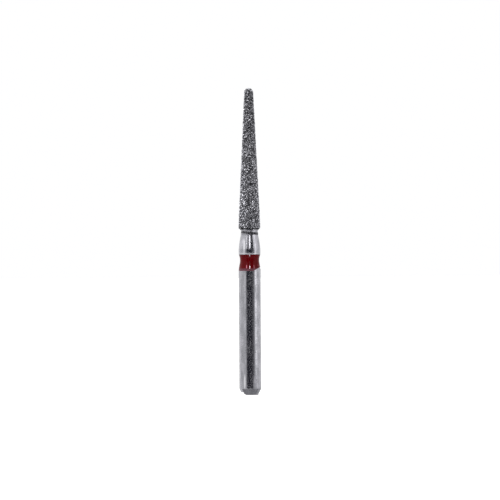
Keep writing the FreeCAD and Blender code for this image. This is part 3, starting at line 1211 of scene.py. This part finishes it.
@dataclass
class LacquerBand:
    """The red band: a film in the recess that runs out over its lip. Millimetres."""

    film: float = 0.046
    bite: float = 0.012
    lap_foot: float = 9.08
    lap_radius: float = 0.7996
    flank_foot: float = 0.7967
    flank_angle: float = 192.0
    outer_steps: int = 14
    inner_steps: int = 8
    # Inset and rise of the rings that round the film: from the foot of its lap, from the
    # recess's foot at the lap, and from there at the flank
    lap_foot_edge: tuple[tuple[float, float], ...] = ((0.004, 0.0), (0.0006, 0.012), (0.0, 0.03))
    lap_head_edge: tuple[tuple[float, float], ...] = ((0.0, -0.03), (0.0008, -0.005))
    flank_edge: tuple[tuple[float, float], ...] = ((0.0005, 0.012), (0.0075, 0.045))
    segments: int = 128
    smooth_below: float = 30
    short_side: tuple[float, float] = (0.34, 9.12)
    short_side_slope: float = 30
    recess: RecessForm = RecessForm()
    finish: BandLacquer = BandLacquer()

    def build(self) -> bpy.types.Object:
        """Models and dresses the band.

        Returns:
            The finished piece.
        """
        band = turn("lacquer_band", self._section(), Ends.LOOP, self.segments)
        self._trim(band)
        band.data.materials.append(self.finish.make())
        bpy.ops.object.shade_smooth_by_angle(angle=math.radians(self.smooth_below))
        finish_piece(band)
        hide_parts("colour_ring")
        return band

    def _section(self) -> list[Stop]:
        """Works out the film's section.

        Returns:
            The rings round the film, up its outside and down inside the steel.
        """
        lip = self.recess.foot
        outside = []
        for radius, height, edge in (
            (self.lap_radius, self.lap_foot, self.lap_foot_edge),
            (self.lap_radius, lip, self.lap_head_edge),
            (self.flank_foot, lip, self.flank_edge),
        ):
            outside += [Stop(radius - inset, height + rise) for inset, rise in edge]
        waist = self.recess.waist_centre
        outer = self.recess.waist_radius - self.film
        inner = self.recess.waist_radius + self.bite
        outer_head, inner_head = (self.recess.head_angle(radius) for radius in (outer, inner))
        outside += arc_stops(waist, outer, self.flank_angle, outer_head, self.outer_steps)
        inside = arc_stops(waist, inner, inner_head, self.flank_angle, self.inner_steps)
        inside.append(Stop(self.flank_foot - self.film - self.bite, lip - self.bite))
        inside.append(Stop(self.lap_radius - self.bite, lip - self.bite))
        inside.append(Stop(self.lap_radius - self.bite, self.lap_foot))
        return [*outside, *inside]

    def _trim(self, band: bpy.types.Object) -> None:
        """Takes away the lap on the right, where the film ends higher.

        Args:
            band: The turned film.
        """
        reach, height = self.short_side
        slope = math.radians(self.short_side_slope)
        facing = (-math.sin(slope), 0, math.cos(slope))
        bpy.ops.object.mode_set(mode="EDIT")
        bpy.ops.mesh.select_all(action="SELECT")
        cut_across(band, (reach, 0, height), facing, Facing.BEHIND)
        bpy.ops.object.mode_set(mode="OBJECT")


@dataclass(frozen=True)
class GrainShape:
    """One shape of crushed grain, seeded so that it comes out the same each time."""

    seed: int
    stretch: tuple[float, float, float]
    crush: float = 0.34

    def build(self, name: str) -> bpy.types.Object:
        """Models the grain with a reach of 1 round the origin.

        Args:
            name: What the grain is called.

        Returns:
            The grain.
        """
        bpy.ops.object.select_all(action="DESELECT")
        bpy.ops.mesh.primitive_ico_sphere_add(subdivisions=1, radius=1)
        grain = bpy.context.object
        grain.name = name
        bpy.ops.object.mode_set(mode="EDIT")
        bpy.ops.mesh.select_all(action="SELECT")
        bpy.ops.transform.vertex_random(offset=self.crush, uniform=1, normal=0, seed=self.seed)
        bpy.ops.transform.resize(value=self.stretch, center_override=(0, 0, 0))
        bpy.ops.mesh.normals_make_consistent(inside=False)
        bpy.ops.object.mode_set(mode="OBJECT")
        reach = max(vertex.co.length for vertex in grain.data.vertices)
        grain.scale = (1 / reach, 1 / reach, 1 / reach)
        bpy.ops.object.transform_apply(location=False, rotation=False, scale=True)
        return grain


@dataclass
class DiamondCoat:
    """The working part: single grains of grit, sunk in a nickel bond. Millimetres."""

    bond_thickness: float = 0.056
    grain_reach: tuple[float, float] = (0.054, 0.07)
    grain_pitch: float = 0.071
    grain_lift: tuple[float, float] = (0.003, 0.014)
    points_tried: float = 1500.0
    sown_segments: int = 48
    # No grain stands outside the shank's radius or above the bur's full length
    widest: float = 0.7996
    highest: float = 22.4996
    seed: int = 7
    shapes: tuple[GrainShape, ...] = (
        GrainShape(3, (1.0, 0.85, 0.75)),
        GrainShape(11, (1.0, 1.0, 0.7)),
        GrainShape(19, (1.0, 0.7, 0.9)),
        GrainShape(27, (1.0, 0.95, 1.0)),
        GrainShape(35, (1.0, 0.8, 0.6)),
        GrainShape(43, (0.9, 1.0, 0.85)),
    )
    taper: TaperForm = TaperForm()
    bond_finish: NickelBond = NickelBond()
    grit_finish: DiamondGrit = DiamondGrit()

    def build(self) -> tuple[bpy.types.Object, bpy.types.Object]:
        """Models and dresses the coat.

        Returns:
            The bond and the grains.
        """
        bond = self._bond()
        grains = self._grains()
        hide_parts("diamond_coat")
        return bond, grains

    def _bond(self) -> bpy.types.Object:
        """Turns the bond: down inside against the core, and up its outside to the tip.

        Returns:
            The finished bond.
        """
        inside = list(reversed(self.taper.stops(0)))
        outside = self.taper.stops(self.bond_thickness)
        bond = turn("nickel_bond", [*inside, *outside], Ends.OPEN)
        bond.data.materials.append(self.bond_finish.make())
        bpy.ops.object.shade_smooth_by_angle(angle=SMOOTH_BELOW)
        finish_piece(bond)
        return bond

    def _grains(self) -> bpy.types.Object:
        """Scatters the grains over the bond's outside and makes them one mesh.

        Returns:
            The finished grains.
        """
        kinds = bpy.data.collections.new("grain_shapes")
        bpy.context.scene.collection.children.link(kinds)
        for number, shape in enumerate(self.shapes):
            grain = shape.build(f"grain_{number}")
            for home in list(grain.users_collection):
                home.objects.unlink(grain)
            kinds.objects.link(grain)

        surface = self.taper.stops(self.bond_thickness)
        grains = turn("diamond_grains", surface, Ends.OPEN, self.sown_segments)
        tree = self._scatter(kinds)
        bpy.ops.object.modifier_add(type="NODES")
        scatter = grains.modifiers[-1]
        scatter.node_group = tree
        bpy.ops.object.modifier_apply(modifier=scatter.name)
        bpy.data.node_groups.remove(tree)
        for grain in list(kinds.objects):
            bpy.data.meshes.remove(grain.data)
        bpy.data.collections.remove(kinds)
        grains.data.materials.clear()
        grains.data.materials.append(self.grit_finish.make())
        bpy.ops.object.shade_flat()
        finish_piece(grains)
        return grains

    def _scatter(self, kinds: bpy.types.Collection) -> bpy.types.NodeTree:
        """Makes the nodes that sow the grains.

        Args:
            kinds: The collection that holds one grain of each shape.

        Returns:
            The geometry tree.
        """
        tree = bpy.data.node_groups.new("sow_grains", "GeometryNodeTree")
        tree.interface.new_socket("Bond", in_out="INPUT", socket_type="NodeSocketGeometry")
        tree.interface.new_socket("Grains", in_out="OUTPUT", socket_type="NodeSocketGeometry")
        points = add_node(
            tree,
            "GeometryNodeDistributePointsOnFaces",
            {
                "Mesh": add_node(tree, "NodeGroupInput"),
                "Distance Min": self.grain_pitch,
                "Density Max": self.points_tried,
                "Seed": self.seed,
            },
            distribute_method="POISSON",
        )
        shapes = add_node(
            tree,
            "GeometryNodeCollectionInfo",
            {"Collection": kinds, "Separate Children": True, "Reset Children": True},
        )
        draws = []
        for kind, limits in (
            ("INT", {4: 0, 5: len(self.shapes) - 1}),
            ("FLOAT_VECTOR", {0: (0.0, 0.0, 0.0), 1: (FULL_TURN,) * 3}),
            ("FLOAT", {2: self.grain_reach[0], 3: self.grain_reach[1]}),
            ("FLOAT", {2: 0.0, 3: 1.0}),
            ("FLOAT", {2: self.grain_lift[0], 3: self.grain_lift[1]}),
        ):
            sockets = {**limits, "Seed": self.seed + len(draws) + 1}
            draws.append(add_node(tree, "FunctionNodeRandomValue", sockets, data_type=kind))
        shape, turned, reach, tone, lift = draws
        offset = add_node(
            tree,
            "ShaderNodeVectorMath",
            {0: points.outputs["Normal"], "Scale": lift.outputs[1]},
            operation="SCALE",
        )
        lifted = add_node(tree, "GeometryNodeSetPosition", {"Geometry": points, "Offset": offset})
        placed = add_node(
            tree,
            "GeometryNodeInstanceOnPoints",
            {
                "Points": lifted,
                "Instance": shapes,
                "Pick Instance": True,
                "Instance Index": shape.outputs[2],
                "Rotation": turned,
                "Scale": reach.outputs[1],
            },
        )
        toned = add_node(
            tree,
            "GeometryNodeStoreNamedAttribute",
            {
                "Geometry": placed,
                "Name": self.grit_finish.tone_attribute,
                "Value": tone.outputs[1],
            },
            data_type="FLOAT",
            domain="INSTANCE",
        )
        real = add_node(tree, "GeometryNodeRealizeInstances", {"Geometry": toned})
        dressed = add_node(
            tree, "GeometryNodeSetPosition", {"Geometry": real, "Position": self._dressed(tree)}
        )
        add_node(tree, "NodeGroupOutput", {0: dressed})
        return tree

    def _dressed(self, tree: bpy.types.NodeTree) -> bpy.types.NodeSocket:
        """Adds the place of a grain's corner, brought inside the bur's full size.

        Args:
            tree: The geometry tree.

        Returns:
            The output that carries the place.
        """
        place = add_node(tree, "GeometryNodeInputPosition")
        parts = add_node(tree, "ShaderNodeSeparateXYZ", {0: place})
        across = add_node(
            tree, "ShaderNodeVectorMath", {0: place, 1: (1.0, 1.0, 0.0)}, operation="MULTIPLY"
        )
        radius = add_node(tree, "ShaderNodeVectorMath", {0: across}, operation="LENGTH")
        share = add_node(
            tree,
            "ShaderNodeMath",
            {0: self.widest, 1: radius.outputs["Value"]},
            operation="DIVIDE",
            use_clamp=True,
        )
        drawn_in = add_node(
            tree, "ShaderNodeVectorMath", {0: across, "Scale": share}, operation="SCALE"
        )
        height = add_node(
            tree, "ShaderNodeMath", {0: parts.outputs["Z"], 1: self.highest}, operation="MINIMUM"
        )
        inward = add_node(tree, "ShaderNodeSeparateXYZ", {0: drawn_in})
        dressed = add_node(
            tree,
            "ShaderNodeCombineXYZ",
            {0: inward.outputs["X"], 1: inward.outputs["Y"], 2: height},
        )
        return dressed.outputs[0]


@dataclass(frozen=True)
class Panel:
    """A part of the tent that is lighter or darker than its cloth.

    Angles are in degrees. Azimuth 0 is the camera's side and 90 is on its right, and
    heights are above the horizon.
    """

    azimuth: float
    width: float
    low: float
    high: float
    level: float
    blur: float = 6.0
    blur_up: float = 8.0


@dataclass
class LightTent:
    """The tent of white cloth round the bur, with its open front and its panels.

    To the camera, and where no panel hangs in reflections, it is as white as the
    photograph's background. Its light on the bur is a little dimmer.
    """

    cloth: float = 0.95
    blue_cast: float = 0.01
    panels: tuple[Panel, ...] = (
        # Unlit back of the tent, the bare table behind the bur, and the lamp on the left
        Panel(180, 60, -40, 60, 0.5, blur=20),
        Panel(140, 120, -70, -12, 0.3, blur=20),
        Panel(-131, 26, -40, 34, 1.25, blur=10),
        # Left wall, farther from the lamps
        Panel(-88, 84, -18, 6, 0.8, blur=16, blur_up=10),
        Panel(-88, 84, 6, 34, 1.18, blur=16),
        # Left lamp above the wall, and the dimmer cloth across from it
        Panel(-80, 80, 36, 84, 4.6, blur=20, blur_up=14),
        Panel(80, 70, 36, 84, 0.7, blur=20, blur_up=14),
        # Open front with the camera in it, the dimmer cloth above, and its fold on the right
        Panel(4.5, 91, -20, 38, 0.018, blur=20, blur_up=14),
        Panel(-9, 38, 10, 34, 0.4, blur=8, blur_up=4),
        Panel(37, 20, -20, 6, 0.18, blur=16),
        # Right wall, a little dimmer than its cloth
        Panel(112, 50, -40, 34, 0.9, blur=10),
        # Light edges of the opening
        Panel(67, 16, -40, 40, 1.5),
        Panel(-35, 9, 10, 34, 2.6, blur=4, blur_up=4),
        Panel(49, 9, 10, 36, 2.1, blur=4, blur_up=4),
        # Bare table under the cloth
        Panel(0, 400, -100, -29, 0.34, blur_up=8),
        # Strip lamp over the camera, and its glare on the table
        Panel(3.4, 6.8, 10, 34, 4.5, blur=3, blur_up=4),
        Panel(2.5, 6, -46, -24, 2.5, blur=3, blur_up=4),
    )

    def build(self) -> bpy.types.World:
        """Makes the tent the scene's world.

        Returns:
            The world.
        """
        world = bpy.data.worlds.new("light_tent")
        world.use_nodes = True
        tree = world.node_tree
        tree.nodes.clear()
        place = add_node(tree, "ShaderNodeTexCoord")
        parts = add_node(tree, "ShaderNodeSeparateXYZ", {0: place.outputs["Generated"]})
        toward = add_node(
            tree, "ShaderNodeMath", {0: parts.outputs["Y"], 1: -1.0}, operation="MULTIPLY"
        )
        azimuth = add_node(
            tree, "ShaderNodeMath", {0: parts.outputs["X"], 1: toward}, operation="ARCTAN2"
        )
        height = add_node(tree, "ShaderNodeMath", {0: parts.outputs["Z"]}, operation="ARCSINE")
        level = add_node(
            tree,
            "ShaderNodeMix",
            {0: seen_directly(tree), 2: self.cloth, 3: 1.0},
            data_type="FLOAT",
        )
        for panel in self.panels:
            level = self._hang(tree, panel, azimuth, height, level)
        # The camera sees the plain background, and the metal mirrors the panels as well
        path = add_node(tree, "ShaderNodeLightPath")
        shown = add_node(
            tree,
            "ShaderNodeMix",
            {0: path.outputs["Is Camera Ray"], 2: level, 3: 1.0},
            data_type="FLOAT",
        )
        # The unlit front is a little blue
        blue = add_node(tree, "ShaderNodeMath", {0: shown, 1: self.blue_cast}, operation="ADD")
        light = add_node(tree, "ShaderNodeCombineXYZ", {0: shown, 1: shown, 2: blue})
        background = add_node(tree, "ShaderNodeBackground", {"Color": light})
        add_node(tree, "ShaderNodeOutputWorld", {"Surface": background})
        bpy.context.scene.world = world
        return world

    def _hang(
        self,
        tree: bpy.types.NodeTree,
        panel: Panel,
        azimuth: bpy.types.Node,
        height: bpy.types.Node,
        level: bpy.types.Node,
    ) -> bpy.types.Node:
        """Adds one panel to the tent.

        Args:
            tree: The world's tree.
            panel: The panel.
            azimuth: The node that gives the azimuth of a direction, in radians.
            height: The node that gives its height, in radians.
            level: The node that gives the level so far.

        Returns:
            The node that gives the level with the panel in place.
        """
        middle = math.radians(panel.azimuth)
        away = add_node(tree, "ShaderNodeMath", {0: azimuth, 1: middle}, operation="SUBTRACT")
        wrapped = add_node(
            tree, "ShaderNodeMath", {0: away, 1: math.pi, 2: -math.pi}, operation="WRAP"
        )
        centre = math.radians((panel.low + panel.high) / 2)
        above = add_node(tree, "ShaderNodeMath", {0: height, 1: centre}, operation="SUBTRACT")
        masks = []
        for offset, size, blur in (
            (wrapped, panel.width, panel.blur),
            (above, panel.high - panel.low, panel.blur_up),
        ):
            distance = add_node(tree, "ShaderNodeMath", {0: offset}, operation="ABSOLUTE")
            start, end = (math.radians(span) / 2 for span in (size - blur, size + blur))
            mask = add_node(
                tree,
                "ShaderNodeMapRange",
                {0: distance, 1: start, 2: end, 3: 1.0, 4: 0.0},
                interpolation_type="SMOOTHSTEP",
            )
            masks.append(mask)
        inside = add_node(tree, "ShaderNodeMath", dict(enumerate(masks)), operation="MULTIPLY")
        return add_node(
            tree, "ShaderNodeMix", {0: inside, 2: level, 3: panel.level}, data_type="FLOAT"
        )


@dataclass
class KeyLamp:
    """The soft box over the camera. Metres, degrees and a plain radiance."""

    azimuth: float = 4
    height: float = 52
    distance: float = 0.3
    size: float = 0.06
    radiance: float = 6.0
    aim_height: float = 0.011

    def build(self) -> bpy.types.Object:
        """Hangs the lamp so that it faces the bur.

        Returns:
            The lamp.
        """
        azimuth, height = math.radians(self.azimuth), math.radians(self.height)
        away = Vector(
            (
                math.sin(azimuth) * math.cos(height),
                -math.cos(azimuth) * math.cos(height),
                math.sin(height),
            )
        )
        middle = Vector((0, 0, self.aim_height))
        bpy.ops.object.light_add(
            type="AREA",
            location=middle + away * self.distance,
            rotation=away.to_track_quat("Z", "Y").to_euler(),
        )
        lamp = bpy.context.object
        lamp.name = "key_lamp"
        lamp.data.shape = "SQUARE"
        lamp.data.size = self.size
        lamp.data.energy = self.radiance * math.pi * self.size**2
        return lamp


@dataclass
class ClothFloor:
    """The white cloth that the bur stands on. Metres."""

    size: float = 3.0
    drop: float = 0.00002
    cloth: TentCloth = TentCloth()

    def build(self) -> bpy.types.Object:
        """Lays the cloth.

        Returns:
            The floor.
        """
        bpy.ops.object.select_all(action="DESELECT")
        bpy.ops.mesh.primitive_plane_add(size=self.size, location=(0, 0, -self.drop))
        floor = bpy.context.object
        floor.name = "cloth_floor"
        floor.data.materials.append(self.cloth.make())
        # The metal mirrors the lower half of the tent instead
        floor.visible_glossy = False
        return floor


@dataclass
class Camera:
    """The photograph's camera: level, far off and rolled by a third of a degree.

    The lens and the sensor are in millimetres, the roll is in degrees, and the rest is in
    metres. The aim is the point at the frame's middle, across and up.
    """

    lens: float = 350.0
    sensor: float = 36.0
    frame_width: float = 0.0367
    aim: tuple[float, float] = (0.000034, 0.01062)
    roll: float = 0.32
    clip: tuple[float, float] = (0.01, 10)

    def build(self) -> bpy.types.Object:
        """Sets the camera up and makes it the scene's.

        Returns:
            The camera.
        """
        across, height = self.aim
        distance = self.frame_width * self.lens / self.sensor
        bpy.ops.object.camera_add(
            location=(across, -distance, height),
            rotation=(math.radians(90), math.radians(self.roll), 0),
        )
        camera = bpy.context.object
        camera.data.lens = self.lens
        camera.data.sensor_width = self.sensor
        camera.data.clip_start, camera.data.clip_end = self.clip
        bpy.context.scene.camera = camera
        return camera


def main() -> None:
    """Builds the bur and its studio, and logs each piece."""
    logging.basicConfig(level=logging.INFO, format="%(message)s")
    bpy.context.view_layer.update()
    for piece in (TurnedBlank().build(), LacquerBand().build(), *DiamondCoat().build()):
        LOG.info("%s: %d faces", piece.name, len(piece.data.polygons))
    for item in (ClothFloor().build(), LightTent().build(), KeyLamp().build(), Camera().build()):
        LOG.info("%s is in place", item.name)
    bpy.context.scene.view_settings.view_transform = "Standard"


if __name__ == "__main__":
    main()
